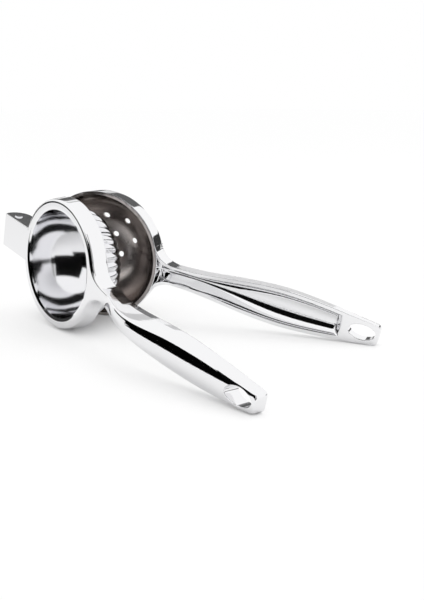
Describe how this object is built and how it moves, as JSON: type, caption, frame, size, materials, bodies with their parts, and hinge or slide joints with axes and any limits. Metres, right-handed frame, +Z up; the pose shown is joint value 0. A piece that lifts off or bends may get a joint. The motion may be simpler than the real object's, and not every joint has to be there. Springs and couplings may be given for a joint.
{
  "type": "citrus press juicer",
  "caption": "Hand-held citrus press with a ribbed dome that swings into a perforated bowl, two long hollow handles and a pinned hinge.",
  "frame": {"origin": "on the floor under the middle of the bounding box", "axes": "+X from the hinge towards the handle tips along the middle of the opening, +Z up, press arm towards -Y"},
  "size_m": [0.2216, 0.1266, 0.0759],
  "materials": {
    "chrome_casting": "mirror-bright plating over a casting",
    "dome_chrome": "bright plating with fine polishing rings inside",
    "bowl_steel": "satin, darker and warmer than the arms",
    "pin_steel": "riveted end, lightly brushed"
  },
  "bodies": {
    "strainer": {"strainer_arm": "chrome_casting", "strainer_bowl": "bowl_steel"},
    "press": {"press_arm": "chrome_casting", "press_dome": "dome_chrome", "hinge_pin": "pin_steel"}
  },
  "joints": [
    {"name": "hinge", "type": "hinge", "parent": "strainer", "child": "press", "pos_m": [-0.09993, -0.00348, 0.04866], "axis": [-0.2043, 0, -0.9789], "range_deg": [-27, 67.5]}
  ]
}
